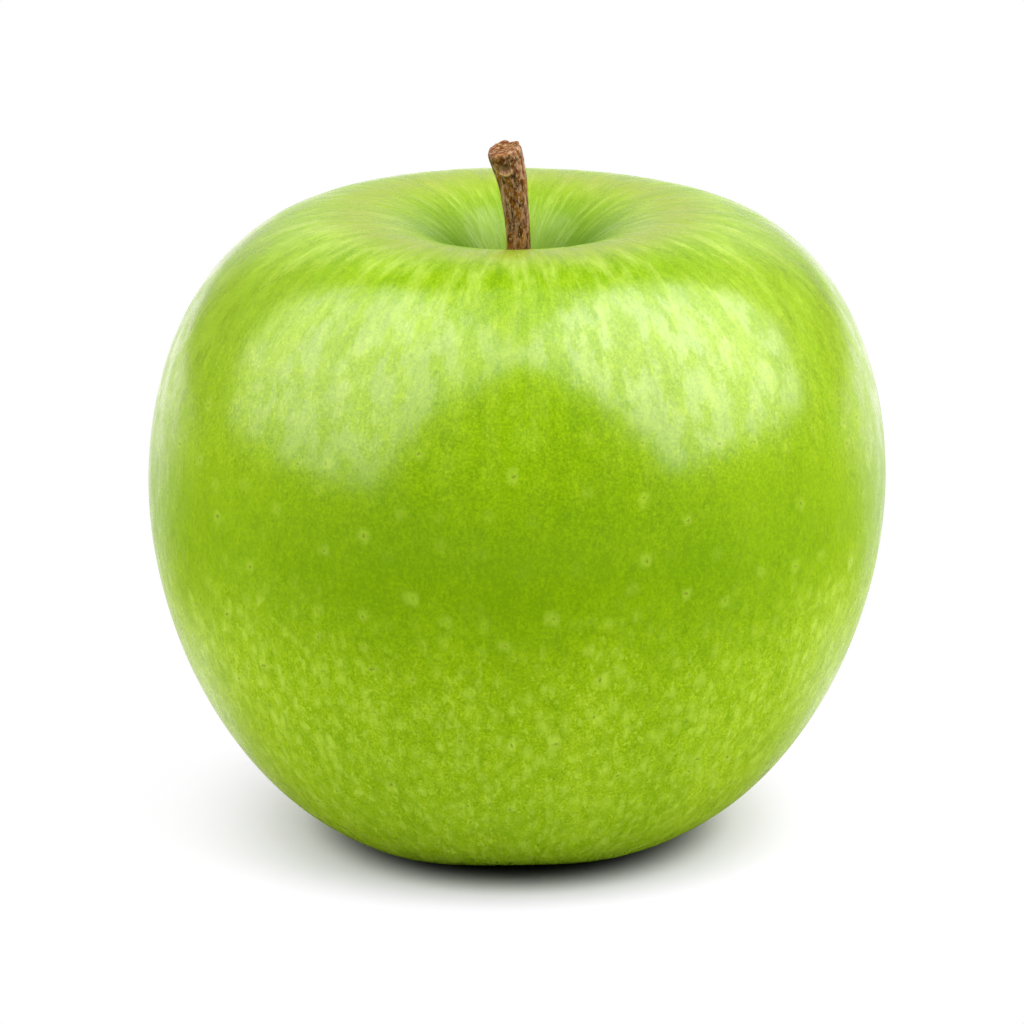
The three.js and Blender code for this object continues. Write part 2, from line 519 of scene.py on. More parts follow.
def fruit_outline(sizes):
    """Knots of the half outline, from the calyx tube under the middle to the stem's socket."""
    tube_top = BASIN_FLOOR_HEIGHT + TUBE_DEPTH
    equator = sizes.equator_radius
    return [
        knot(0, tube_top),
        knot(TUBE_RADIUS, tube_top),
        knot(TUBE_RADIUS, BASIN_FLOOR_HEIGHT, after=(BASIN_FLOOR_REACH, 0)),
        knot(RING_RADIUS, -SETTLE, (-BASIN_LIP_REACH, 0), (RING_REACH, 0)),
        knot(equator, EQUATOR_HEIGHT, (0, -BELLY_REACH), (0, SHOULDER_REACH)),
        knot(CREST_RADIUS, sizes.crest_height, (CREST_REACH_OUT, 0), (-CREST_REACH_IN, 0)),
        knot(THROAT_RADIUS, CAVITY_FLOOR_HEIGHT, (0, THROAT_REACH)),
        knot(THROAT_RADIUS, SOCKET_FLOOR_HEIGHT),
        knot(0, SOCKET_FLOOR_HEIGHT),
    ]


def between(net, angle, start, count):
    """0 at an angle and at each of the even turns from it, 1 halfway between them."""
    return 0.5 - 0.5 * net.math("COSINE", (angle - start) * count)


def ring_share(net, radius, peak):
    """0 on the axis, 1 at the peak radius, and back towards 0 further out."""
    share = (radius / peak) ** 2
    return share * net.math("EXPONENT", 1 - share)


def lobed_place(net, angle, radius, height, crest):
    """The lobed shape's point for an angle and a point of the half outline."""
    low = net.math("MAXIMUM", 1 - height / EQUATOR_HEIGHT, 0.0) ** 2
    high = net.math("MAXIMUM", (height - EQUATOR_HEIGHT) / (crest - EQUATOR_HEIGHT), 0.0) ** 2
    lobe_gap = between(net, angle, LOBE_ANGLE, LOBES)
    saddle = between(net, angle, BASE_SADDLE_ANGLE, 2)
    base_rise = lobe_gap * BASE_LOBE_RISE + saddle * BASE_SADDLE_RISE
    crest_rise = CREST_SADDLE_RISE * (1 - 2 * between(net, angle, CREST_SADDLE_ANGLE, 2))
    drawn_in = radius * (1 - SIDE_LOBE_SHARE * lobe_gap * low)
    raised = (
        height
        + base_rise * low * ring_share(net, radius, BASE_RISE_RADIUS)
        + crest_rise * high * ring_share(net, radius, CREST_RISE_RADIUS)
    )
    return net.joined(
        drawn_in * net.math("COSINE", angle) + LEAN * (height / EQUATOR_HEIGHT - 1),
        drawn_in * net.math("SINE", angle),
        net.math("MAXIMUM", raised, 0.0),
    )


def fruit_relief(net, inlet):
    """How far the skin stands out of the smooth shape: broad dents, and ribs near the crest."""
    place = kept_place(net, "skin_place")
    seed = inlet["Seed"]
    _, _, along = net.split(place)
    dents = net.noise(place, 9.0, detail=1.0, stretch=(1, 1, 0.7), seed=seed) - 0.5
    ribs = net.noise(place, 3.2, stretch=(1, 1, 0.12), seed=seed + 3.0) - 0.5
    ribbed = net.step(along, inlet["Equator Length"], inlet["Crest Length"], 0.25, 1.0)
    above_ring = net.step(along, inlet["Ring Length"] - 2.0, inlet["Ring Length"] + 9.0)
    return (dents * inlet["Dent Height"] + ribs * inlet["Rib Height"] * ribbed) * 2 * above_ring


def fruit_tree():
    """Geometry nodes that turn a half outline into the lobed fruit."""
    tree = bpy.data.node_groups.new("apple_fruit", "GeometryNodeTree")
    net = Net(tree)
    inlet = net.inlets(
        Geometry=["Half Outline"],
        Int=["Sides", "Steps"],
        Float=[
            "Crest Height", "Outline Length", "Ring Length", "Equator Length", "Crest Length",
            "Dent Height", "Rib Height", "Seed",
        ],
        Material=["Skin"],
    )
    sheet, angle, share = flat_sheet(net, inlet["Sides"], inlet["Steps"])
    radius, _, height = net.split(net.sample(inlet["Half Outline"], share))
    skin_place = net.joined(
        net.math("COSINE", angle) * (EQUATOR_RADIUS / MM),
        net.math("SINE", angle) * (EQUATOR_RADIUS / MM),
        share * inlet["Outline Length"],
    )
    marked = with_place(net, sheet, "skin_place", skin_place)
    shaped = moved_to(net, marked, lobed_place(net, angle, radius, height, inlet["Crest Height"]))
    net.outlet("Fruit", dressed(net, shaped, fruit_relief(net, inlet), inlet["Skin"]))
    return tree


def arc_lengths(knots):
    """Length of the outline from its start to each knot, in millimetres."""
    lengths = [0.0]
    for (start, _, leave), (end, arrive, _) in zip(knots, knots[1:]):
        ends = [Vector((*p, 0)) for p in (start, leave, arrive, end)]
        lengths.append(lengths[-1] + arc_length(ends))
    return lengths


def spots(net, flat_place, spacing):
    """Distance in millimetres from the nearest of many scattered spots, and that spot's own number."""
    cells = {"Vector": net.scaled(flat_place, 1 / spacing), "Scale": 1.0, "Randomness": 0.9}
    nearest = net.node("ShaderNodeTexVoronoi", {"voronoi_dimensions": "2D"}, cells)
    kind, _, _ = net.split(nearest.other("Color"))
    return nearest * spacing, kind


def skin_zones(net, x, y, along, ring, equator, crest, floor):
    """Masks from 0 to 1 for the zones of the skin.

    The last five values are lengths along the half outline, in millimetres.
    """
    out = net.vector("LENGTH", net.joined(x, y, 0.0))
    return SimpleNamespace(
        # front is the apple's side towards -y, where the camera stands; the skin's painted light and
        # shade follow it.
        front=net.step((0 - y) / out, 0.3, 1.0),
        upper=net.step(along, equator + 4, crest - 12),
        crown=net.step(along, crest - 14, crest - 3),
        lower=net.step(along, equator + 10, equator - 20),
        belly=bell(net, along, equator + 1, 10),
        lip=bell(net, along, crest + 1, 4),
        # Painted shade: the skin near the ring it rests on is darkened.
        base=net.step(along, ring + 11, ring + 1),
        # hollow marks the cavity, where the skin's colour gets painted shade.
        hollow=net.step(along, crest + 2, floor - 5),
        waxed=net.step(along, equator - 2, equator + 13),
    )


def skin_noises(net, place):
    """Noises from -0.5 to 0.5, with lumps from a centimetre down to a quarter of a millimetre."""

    def noise(size, **shape):
        return net.noise(place, size, **shape) - 0.5

    return SimpleNamespace(
        cloud=noise(11.0, stretch=(1, 1, 0.6), seed=1.0),
        grain=noise(0.4, detail=3.0, rough=0.8, stretch=(1, 1, 0.7), seed=2.0),
        speck=noise(0.27, detail=1.0, rough=0.7, seed=8.0),
        fibre=noise(1.1, detail=3.0, rough=0.65, stretch=(1, 1, 0.2), seed=3.0),
        streak=noise(3.0, detail=3.0, rough=0.55, stretch=(1, 1, 0.38), seed=4.0),
        mottle=noise(1.9, rough=0.6, stretch=(1, 1, 0.75), seed=5.0),
        bumps=noise(0.55, detail=1.0, seed=9.0),
        gloss=noise(2.6, detail=3.0, rough=0.6, stretch=(1, 1, 0.6), seed=6.0),
        fleck=noise(0.85, rough=0.6, stretch=(1, 1, 0.7), seed=7.0),
    )


def skin_marks(net, x, y, along, zone, noise):
    """Masks from 0 to 1 for the pores, with their halos, and for the dapples and flecks."""
    flat_place = net.joined(net.math("ARCTAN2", x, 0 - y) * (EQUATOR_RADIUS / MM), along, 0.0)
    torn = net.vector("ADD", flat_place, net.joined(noise.fibre * 1.9, noise.mottle * 2.0, 0.0))

    pores, pore_kind = spots(net, torn, PORE_SPACING)
    kept = net.step(pore_kind, 0.25, 0.8, 0.15, 1.0) * net.step(zone.upper, 0.15, 0.8, 1.0, 0.25)
    halo = net.step(pores + noise.grain * 1.2 + noise.streak, 1.05, 0.2) * kept
    pit = net.step(pores + noise.grain * 0.5, 0.22, 0.05) * net.step(kept, 0.5, 0.95)

    drawn_up = net.vector("MULTIPLY", torn, (1, 0.65, 1))
    dapples, dapple_kind = spots(net, drawn_up, DAPPLE_SPACING)
    dapple_edge = dapples + noise.grain + noise.streak * 1.2
    dapple = net.step(dapple_edge, 0.9, -0.1) * net.step(dapple_kind, 0, 1, 0.3, 1.0)
    low_down = net.step(zone.lower + dapple_kind * 0.4 + noise.cloud * 1.3, 0.35, 1.25)
    fleck = net.step(noise.fleck + noise.grain * 0.15, 0.04, 0.16)
    return SimpleNamespace(
        halo=halo,
        pit=pit,
        dapple=dapple,
        low_dapple=dapple * low_down,
        fleck=fleck * net.step(zone.lower + noise.cloud, 0.25, 1.0),
    )


def skin_colour(net, colours, zone, noise, mark):
    """Three greens run together, then frosted, dappled and pitted, with painted shade in the cavity, near
    the base and on the front, and painted light on the flanks.
    """
    paleness_and_painted_shading = (
        0.58
        + noise.cloud * 0.4
        + noise.grain * (1.2 - zone.lower * 0.2)
        + noise.speck * (1.7 - zone.belly - zone.lower * 0.3 - zone.upper * 0.7)
        + noise.fibre * (0.1 + zone.upper * 0.4 + zone.hollow)
        + noise.streak * zone.upper * (0.3 + zone.crown * 0.4)
        + noise.mottle * (0.25 + 0.45 * zone.lower + 0.3 * zone.upper)
        # Painted light: the flanks are paler than the front.
        + (1 - zone.front) * 0.1
        + zone.lower * 0.06
        # Painted shade: darker near the base.
        - zone.base * 0.2
        - zone.belly * 0.3
        - zone.upper * 0.3
        # Painted shade: darker in the cavity.
        - zone.hollow * 0.6
        # Painted shade: darker on the front below the shoulders, where the lamps leave it dim.
        - zone.front * (1 - zone.upper) * 0.16
    )
    streaks = net.step(noise.streak + noise.fibre * 0.5 + noise.mottle * 0.3, -0.08, 0.32)
    frost_and_sheen = streaks * (zone.upper * 0.2 + zone.crown * 0.28) * (1 - zone.hollow * 0.8)
    # Painted sheen: the upper flanks are frosted evenly, beyond the streaks.
    frost_and_sheen = frost_and_sheen + zone.upper * (1 - zone.front) * 0.14
    dappled = mark.low_dapple * (0.35 + 0.45 * zone.lower) * (1.3 - zone.front * 0.6)

    greens = ((0.0, colours.deep), (0.5, colours.green), (1.0, colours.pale))
    colour = net.node("ShaderNodeValToRGB", {"stops": greens}, {"Fac": paleness_and_painted_shading})
    colour = net.blend(frost_and_sheen, colour, colours.frost_and_sheen)
    colour = net.blend(zone.lip * (0.6 + noise.streak), colour, colours.crest)
    colour = net.blend(mark.fleck * 0.42, colour, colours.dapple)
    colour = net.blend(dappled + mark.halo * 0.32, colour, colours.dapple)
    # Painted shade: the cavity's skin darkens towards the hollow's colour.
    colour = net.blend(zone.hollow, colour, colours.painted_shade)
    return net.blend(mark.pit * 0.6, colour, colours.pit)


def skin_material(colours, ring, equator, crest, floor):
    """Waxed green skin, streaked over the shoulders, and mottled, dappled and flecked below.

    The last four values are lengths along the half outline, in millimetres.
    """
    material, net = new_material("apple_skin")
    place = net.node("ShaderNodeAttribute", {"attribute_name": "skin_place"}, output="Vector")
    x, y, along = net.split(place)
    zone = skin_zones(net, x, y, along, ring, equator, crest, floor)
    noise = skin_noises(net, place)
    mark = skin_marks(net, x, y, along, zone, noise)

    uneven = noise.bumps * 0.02 + noise.speck * 0.006 + noise.mottle * 0.045 + noise.streak * 0.03
    height = (
        uneven * (1 - zone.belly * 0.5 - zone.crown * 0.9)
        + noise.fibre * (0.012 - zone.crown * 0.01)
        + mark.dapple * 0.03
        + mark.fleck * 0.012
        + mark.halo * 0.02
        - mark.pit * 0.05
    )
    waxed = zone.waxed * (1 - zone.hollow * 0.9) * (1 - zone.crown * 0.6)
    wax_patches = net.step(noise.gloss + noise.grain * 0.25, -0.1, 0.1, 0.45, 1.0)
    finish_surface(net, height, {
        "Base Color": skin_colour(net, colours, zone, noise, mark),
        "Roughness": net.step(noise.gloss, -0.15, 0.15, 0.35, 0.25),
        "Specular IOR Level": 0.35,
        "Specular Tint": (1, 1, 0.05),
        "Coat Weight": wax_patches * (0.02 + 0.98 * waxed),
        "Coat Roughness": 0.19,
        "Coat IOR": 1.66,
        "Coat Tint": (1, 0.98, 0.75),
    })
    return material


class APPLE_OT_make_fruit(bpy.types.Operator):
    """Makes the fruit, with its stem cavity and calyx basin"""

    bl_idname = "apple.make_fruit"
    bl_label = "Make Fruit"

    def execute(self, context):
        sizes = context.scene.apple_fruit
        knots = fruit_outline(sizes)
        lengths = arc_lengths(knots)
        ring, equator, crest, floor = lengths[3:7]
        skin = skin_material(sizes, ring, equator, crest, floor)
        fruit = grown("apple_fruit", outline_host("half_outline", knots), fruit_tree(), {
            "Crest Height": sizes.crest_height,
            "Sides": 384,
            "Steps": 250,
            "Outline Length": lengths[-1],
            "Ring Length": ring,
            "Equator Length": equator,
            "Crest Length": crest,
            "Dent Height": sizes.dent_height,
            "Rib Height": sizes.rib_height,
            "Seed": 7.0,
            "Skin": skin,
        })
        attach(fruit, "root")
        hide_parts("fruit")
        return {"FINISHED"}


# ---------------------------------------------------------------------------------------------
# Stem


def stem_outline(length):
    """Knots of the stem's half outline by radius and length along it, in metres."""
    flare = length - STEM_RIM_DEPTH
    return [
        knot(0, 0),
        knot(STEM_FOOT_RADIUS, 0),
        knot(STEM_SWELL_RADIUS, STEM_SWELL, (0, -1.3 * MM), (0, 0.8 * MM)),
        knot(STEM_WAIST_RADIUS, STEM_WAIST, (0, -1.5 * MM), (0, 2 * MM)),
        knot(STEM_NECK_RADIUS, STEM_NECK, (-0.03 * MM, -4 * MM), (0.03 * MM, 2.5 * MM)),
        knot(STEM_FLARE_RADIUS, flare, (-0.07 * MM, -1.9 * MM), (0.01 * MM, 0.35 * MM)),
        knot(STEM_RIM_RADIUS, length, (0.3 * MM, 0.04 * MM), (-0.4 * MM, -0.05 * MM)),
        knot(0, length - 0.12 * MM),
    ]


def bud_scar(net, x, y, below_tip):
    """The old bud's scar: its front mask, and each place's distance from it and depth below it.

    Both are in the scar's own sizes, so that its edge is at 1.
    """
    front = net.step(y, -0.2, -0.9)
    side = (x + SCAR_LEFT) / SCAR_HALF_WIDTH
    down = (below_tip - SCAR_BELOW_TIP) / SCAR_HALF_HEIGHT
    return front, net.math("SQRT", side ** 2 + down ** 2), down


def stem_relief(net, inlet):
    """How far the bark stands out: ridges, lumps, a ragged far rim and an old bud's scar."""
    place = kept_place(net, "stem_place")
    seed = inlet["Seed"]
    x, y, along = net.split(place)
    below_tip = inlet["Length"] - along
    lumps = net.noise(place, 1.5, stretch=(1, 1, 0.45), seed=seed) - 0.5
    ridges = net.noise(place, 0.42, detail=3.0, rough=0.6, stretch=(1, 1, 0.16), seed=seed + 1) - 0.5
    grit = net.noise(place, 0.17, seed=seed + 2) - 0.5
    rim = bell(net, below_tip, 0.15, 0.5) * net.step(y, 0.1, 1.1)
    ragged = rim * (net.noise(place, 0.75, detail=1.0, seed=seed + 3) - 0.42)
    front, from_scar, down = bud_scar(net, x, y, below_tip)
    dent = net.step(from_scar, 1.0, 0.35) * front
    lip = bell(net, from_scar, 1.12, 0.22) * net.step(down, 0.1, 0.9) * front
    plain = lumps * 0.28 + ridges * 0.2 + grit * 0.06
    return (plain * inlet["Relief"] + ragged * 1.1 - dent * 0.26 + lip * 0.16) * MM


def stem_tree():
    """Geometry nodes that wrap a bent stem round its middle line."""
    tree = bpy.data.node_groups.new("apple_stem", "GeometryNodeTree")
    net = Net(tree)
    inlet = net.inlets(
        Geometry=["Half Outline"],
        Vector=["Foot", "Foot Handle", "Tip Handle", "Tip"],
        Int=["Sides", "Steps"],
        Float=["Length", "Relief", "Seed"],
        Material=["Bark"],
    )
    sheet, angle, share = flat_sheet(net, inlet["Sides"], inlet["Steps"])
    radius, _, along = net.split(net.sample(inlet["Half Outline"], share))
    x = radius * net.math("COSINE", angle)
    y = radius * net.math("SINE", angle)
    marked = with_place(net, sheet, "stem_place", net.scaled(net.joined(x, y, along), 1 / MM))

    middle_line = net.node(
        "GeometryNodeCurvePrimitiveBezierSegment",
        {"mode": "POSITION"},
        {
            "Resolution": 64,
            "Start": inlet["Foot"],
            "Start Handle": inlet["Foot Handle"],
            "End Handle": inlet["Tip Handle"],
            "End": inlet["Tip"],
        },
    )
    centre = net.sample(middle_line, along / (inlet["Length"] * MM))
    forward = centre.other("Tangent")
    across = net.vector("NORMALIZE", net.vector("CROSS_PRODUCT", (0, 1, 0), forward))
    aback = net.vector("CROSS_PRODUCT", forward, across)
    place = net.vector("ADD", centre, net.vector("ADD", net.scaled(across, x), net.scaled(aback, y)))
    shaped = moved_to(net, marked, place)
    net.outlet("Stem", dressed(net, shaped, stem_relief(net, inlet), inlet["Bark"]))
    return tree


def bark_colour(net, colours, place, below_tip, patch, ridge, specks):
    """Bark with dark red patches, pale flakes that thicken towards the tip, cracks and specks."""
    flake = net.noise(place, 0.5, detail=3.0, rough=0.7, stretch=(1, 1, 0.45), seed=26.0)
    upper = net.step(below_tip, 14.0, 4.0)
    colour = net.blend(net.step(patch, 0.42, 0.58), colours.bark, colours.russet)
    colour = net.blend(net.step(flake, 0.42, 0.6) * (0.3 + 0.65 * upper), colour, colours.weathered)
    colour = net.blend(net.step(ridge, 0.5, 0.37, 0.0, 0.95), colour, colours.crack)
    colour = net.blend(net.step(ridge, 0.57, 0.68, 0.0, 0.6), colour, colours.cut)
    return net.blend(specks * 0.75, colour, colours.cut)


def scarred(net, colours, colour, place, below_tip, scar):
    """Darkens the bark in the bud's scar and under the rim, and bares the wood of the scar's lip."""
    front, from_scar, down = scar
    lip = bell(net, from_scar, 1.12, 0.17) * net.step(down, 0.1, 0.8) * front
    hole = net.noise(place, 0.42, detail=1.0, seed=24.0)
    under_rim = bell(net, below_tip, 0.95, 0.42) * net.step(hole, 0.48, 0.58)
    colour = net.blend(net.step(from_scar, 1.1, 0.3) * front * 0.5, colour, colours.crack)
    colour = net.blend(lip * 0.9, colour, colours.cut)
    return net.blend(under_rim * front * 0.9, colour, colours.crack)


def bark_material(colours, length):
    """Brown bark with its flakes, cracks and bud's scar, and cut wood at its end."""
    material, net = new_material("apple_bark")
    place = net.node("ShaderNodeAttribute", {"attribute_name": "stem_place"}, output="Vector")
    x, y, along = net.split(place)
    below_tip = length - along
    ridge = net.noise(place, 0.36, detail=4.0, rough=0.62, stretch=(1, 1, 0.26), seed=21.0)
    patch = net.noise(place, 1.1, detail=3.0, stretch=(1, 1, 0.4), seed=22.0)
    specks = net.step(net.noise(place, 0.2, detail=1.0, stretch=(1, 1, 0.6), seed=23.0), 0.6, 0.68)
    colour = bark_colour(net, colours, place, below_tip, patch, ridge, specks)
    colour = scarred(net, colours, colour, place, below_tip, bud_scar(net, x, y, below_tip))

    grain = net.noise(place, 0.3, detail=3.0, rough=0.6, stretch=(0.5, 1, 1), seed=25.0)
    wood = net.blend(net.step(grain, 0.42, 0.72), colours.russet, colours.cut)
    radius = net.vector("LENGTH", net.joined(x, y, 0.0))
    cut = net.step(radius + grain * 0.25, 1.72, 1.5) * net.step(below_tip, 0.7, 0.25)
    finish_surface(net, ridge * 0.2 + specks * 0.03 + grain * cut * 0.05, {
        "Base Color": net.blend(cut, colour, wood),
        "Roughness": net.step(patch, 0.35, 0.65, 0.3, 0.5),
        "Specular IOR Level": 0.3,
        "Specular Tint": (1, 0.7, 0.4),
    })
    return material


class APPLE_OT_make_stem(bpy.types.Operator):
    """Makes the bent woody stem"""

    bl_idname = "apple.make_stem"
    bl_label = "Make Stem"

    def execute(self, context):
        settings = context.scene.apple_stem
        length = arc_length((STEM_FOOT, STEM_FOOT_HANDLE, STEM_TIP_HANDLE, STEM_TIP))
        stem = grown("apple_stem", outline_host("stem_outline", stem_outline(length * MM)), stem_tree(), {
            "Foot": STEM_FOOT,
            "Foot Handle": STEM_FOOT_HANDLE,
            "Tip Handle": STEM_TIP_HANDLE,
            "Tip": STEM_TIP,
            "Length": length,
            "Sides": 120,
            "Steps": 260,
            "Relief": settings.relief,
            "Seed": 11.0,
            "Bark": bark_material(settings, length),
        })
        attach(stem, "root")
        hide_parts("stem")
        return {"FINISHED"}


# ---------------------------------------------------------------------------------------------
# Calyx


def dried_material(name, colours, seed):
    """Dull, dry plant skin, darker in blotches, with a pale grain."""
    material, net = new_material(name)
    place = net.node("ShaderNodeTexCoord", output="Object")
    blotch = net.noise(place, 0.9 * MM, detail=3.0, rough=0.6, seed=seed)
    grain = net.noise(place, 0.22 * MM, seed=seed + 1)
    colour = net.blend(net.step(blotch, 0.38, 0.66), colours.dry, colours.withered)
    colour = net.blend(net.step(grain, 0.35, 0.7, 0.0, 0.4), colour, colours.fuzz)
    looks = {"Base Color": colour, "Roughness": 0.85, "Specular IOR Level": 0.25}
    finish_surface(net, grain, looks, strength=0.7, depth=0.1 * MM)
    return material


def with_fuzz(net, surface, density, seed):
    """Adds short soft hairs to a surface."""
    points = net.node(
        "GeometryNodeDistributePointsOnFaces",
        {"distribute_method": "RANDOM"},
        {"Mesh": surface, "Density": density, "Seed": seed},
    )
    hair = net.node(
        "GeometryNodeMeshCone",
        {"fill_type": "NGON"},
        {"Vertices": 3, "Radius Top": 0.0, "Radius Bottom": HAIR_RADIUS, "Depth": HAIR_LENGTH},
    )
    tilt = net.random_vector((-0.8, -0.8, 0.0), (0.8, 0.8, 6.3), seed)
    placed = net.node(
        "GeometryNodeInstanceOnPoints",
        values={
            "Points": points,
            "Instance": hair,
            "Rotation": points.other("Rotation"),
            "Scale": net.joined(1.0, 1.0, net.random_number(0.5, 1.3, seed)),
        },
    )
    tilted = net.node(
        "GeometryNodeRotateInstances", values={"Instances": placed, "Rotation": tilt, "Local Space": True}
    )
    return net.together(net.node("GeometryNodeRealizeInstances", values={"Geometry": tilted}), surface)


def sepal_tree():
    """Geometry nodes that make one dried sepal, a tapered and veined blade on a curled middle line."""
    tree = bpy.data.node_groups.new("apple_sepal", "GeometryNodeTree")
    net = Net(tree)
    inlet = net.inlets(
        Geometry=["Middle Line"],
        Float=["Turn", "Half Width", "Half Thickness", "Cup", "Hair Density"],
        Int=["Seed"],
        Material=["Dried"],
    )
    seed = inlet["Seed"] * 1.7
    sheet, angle, share = flat_sheet(net, SEPAL_SIDES, SEPAL_STEPS)
    spot = net.sample(inlet["Middle Line"], share)
    outward = net.vector("CROSS_PRODUCT", spot.other("Tangent"), (0, 1, 0))
    side = net.math("COSINE", angle)
    face = net.math("SINE", angle)

    ends = net.math("SQRT", net.math("MAXIMUM", 1 - net.math("ABSOLUTE", share * 2 - 1) ** 10, 0.0))
    taper = (1 - share ** 2 * 0.85) * ends
    torn = net.noise(net.joined(share * 7, net.math("SIGN", side), 0.0), 1.0, seed=seed) - 0.5
    across = side * inlet["Half Width"] * taper * (1 + torn * 0.5)

    thick = face * inlet["Half Thickness"] * ends * (1 - share * 0.5)
    cup = (side ** 2 - 0.3) * inlet["Cup"] * taper
    folds = net.noise(net.joined(share * 6, side, 0.0), 1.1, seed=seed + 3) - 0.5
    crumple = folds * inlet["Half Width"] * 0.5 * net.step(share, 0.0, 0.3)
    veins = net.math("COSINE", side * 16) * 0.035 * MM * taper * face
    place = net.vector("ADD", spot, net.scaled(outward, thick + cup + crumple + veins))
    place = net.vector("ADD", place, net.joined(0.0, across, 0.0))
    turned = net.node(
        "ShaderNodeVectorRotate",
        {"rotation_type": "Z_AXIS"},
        {"Vector": place, "Center": (0, 0, 0), "Angle": inlet["Turn"]},
    )
    blade = smoothed(net, moved_to(net, sheet, turned))
    fuzzy = with_fuzz(net, blade, inlet["Hair Density"], inlet["Seed"])
    net.outlet("Sepal", net.made_of(fuzzy, inlet["Dried"]))
    return tree


def sepal_line(reach, drop):
    """Knots of a sepal's middle line, by radius and height, with its shares of the usual size."""
    root = BASIN_FLOOR_HEIGHT - CALYX_GAP
    curl = SEPAL_CURL * reach
    return [
        knot(SEPAL_ROOT_RADIUS, root, after=(-SEPAL_PINCH, -SEPAL_DROP / 2)),
        knot(SEPAL_ROOT_RADIUS + curl, root - SEPAL_DROP * drop, before=(-curl, 0)),
    ]


class APPLE_OT_make_sepals(bpy.types.Operator):
    """Makes the five dried sepals in the calyx basin"""

    bl_idname = "apple.make_sepals"
    bl_label = "Make Sepals"

    def execute(self, context):
        settings = context.scene.apple_calyx
        dried = dried_material("apple_dried_sepal", settings, 31.0)
        tree = sepal_tree()
        chance = random.Random(5)
        for index, node in enumerate(SEPAL_NODES):
            line = sepal_line(chance.uniform(0.75, 1.15), chance.uniform(0.85, 1.05))
            sepal = grown(f"apple_{node}", outline_host(f"{node}_line", line), tree, {
                "Turn": LOBE_ANGLE + (index + 0.5) / len(SEPAL_NODES) * FULL_TURN,
                "Half Width": SEPAL_HALF_WIDTH,
                "Half Thickness": SEPAL_HALF_THICKNESS,
                "Cup": chance.uniform(0.2, 0.5) * MM,
                "Hair Density": settings.hair_density,
                "Seed": index + 1,
                "Dried": dried,
            })
            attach(sepal, "root")
            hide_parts(node)
        return {"FINISHED"}


def tuft_tree():
    """Geometry nodes that make the withered stamens and styles in the calyx tube."""
    tree = bpy.data.node_groups.new("apple_stamen_tuft", "GeometryNodeTree")
    net = Net(tree)
    inlet = net.inlets(
        Geometry=["Middle Line"],
        Int=["Stamens", "Seed"],
        Float=["Ring Radius", "Root Height", "Thread Radius", "Anther Radius"],
        Material=["Dried"],
    )
    ring = net.node(
        "GeometryNodeMeshCircle",
        values={"Vertices": inlet["Stamens"], "Radius": inlet["Ring Radius"]},
    )
    seed = inlet["Seed"]
    scatter = net.random_vector(Vector((-0.45, -0.45, -0.1)) * MM, Vector((0.45, 0.45, 0.1)) * MM, seed)
    roots = net.node(
        "GeometryNodeSetPosition",
        values={
            "Geometry": ring,
            "Offset": net.vector("ADD", scatter, net.joined(0.0, 0.0, inlet["Root Height"])),
        },
    )
    placed = net.node(
        "GeometryNodeInstanceOnPoints",
        values={
            "Points": roots,
            "Instance": inlet["Middle Line"],
            "Rotation": net.random_vector((-0.16, -0.16, 0.0), (0.16, 0.16, 6.3), seed + 1),
            "Scale": net.random_number(0.72, 1.05, seed + 2),
        },
    )
    lines = net.node("GeometryNodeRealizeInstances", values={"Geometry": placed})
    lines = net.node("GeometryNodeResampleCurve", values={"Curve": lines, "Count": 12})
    loose = net.noise(net.node("GeometryNodeInputPosition"), 1.6 * MM, detail=1.0, seed=3.0)
    shift = net.scaled(net.vector("SUBTRACT", loose.other("Color"), (0.5, 0.5, 0.5)), 1.1 * MM)
    bent = net.node("GeometryNodeSetPosition", values={"Geometry": lines, "Offset": shift})
    profile = net.node(
        "GeometryNodeCurvePrimitiveCircle", values={"Resolution": 7, "Radius": inlet["Thread Radius"]}
    )
    threads = net.node(
        "GeometryNodeCurveToMesh", values={"Curve": bent, "Profile Curve": profile, "Fill Caps": True}
    )
    last = net.node("GeometryNodeCurveEndpointSelection", values={"Start Size": 0, "End Size": 1})
    anther = net.node(
        "GeometryNodeMeshIcoSphere", values={"Radius": inlet["Anther Radius"], "Subdivisions": 3}
    )
    anthers = net.node(
        "GeometryNodeInstanceOnPoints",
        values={
            "Points": bent,
            "Selection": last,
            "Instance": anther,
            "Rotation": net.random_vector((0.0, 0.0, 0.0), (1.2, 1.2, 6.3), seed + 4),
            "Scale": (0.7, 0.7, 1.3),
        },
    )
    tuft = smoothed(net, net.together(anthers, threads))
    net.outlet("Tuft", net.made_of(tuft, inlet["Dried"]))
    return tree


class APPLE_OT_make_tuft(bpy.types.Operator):
    """Makes the tuft of withered stamens and styles"""

    bl_idname = "apple.make_tuft"
    bl_label = "Make Stamen Tuft"

    def execute(self, context):
        settings = context.scene.apple_calyx
        line = [knot(0, 0), knot(0, TUFT_LOW.z - TUFT_HIGH.z)]
        tuft = grown("apple_stamen_tuft", outline_host("stamen_line", line), tuft_tree(), {
            "Stamens": STAMENS,
            "Ring Radius": STAMEN_RING_RADIUS,
            "Root Height": TUFT_HIGH.z,
            "Thread Radius": STAMEN_RADIUS,
            "Anther Radius": ANTHER_RADIUS,
            "Seed": 4,
            "Dried": dried_material("apple_dried_flower", settings, 37.0),
        })
        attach(tuft, "root")
        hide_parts("stamen_tuft")
        return {"FINISHED"}


# ---------------------------------------------------------------------------------------------
# Studio

# The camera's frame: what it looks at, and how many pixels a millimetre there takes up.
CAMERA_TARGET = Vector((-0.54, 0, 35.2)) * MM
SENSOR_WIDTH = 36.0
IMAGE_WIDTH = 1024
PIXELS_PER_MM = 9.191

# The side lamps aim below the apple's middle by this much.
AIM_DROP = 120 * MM

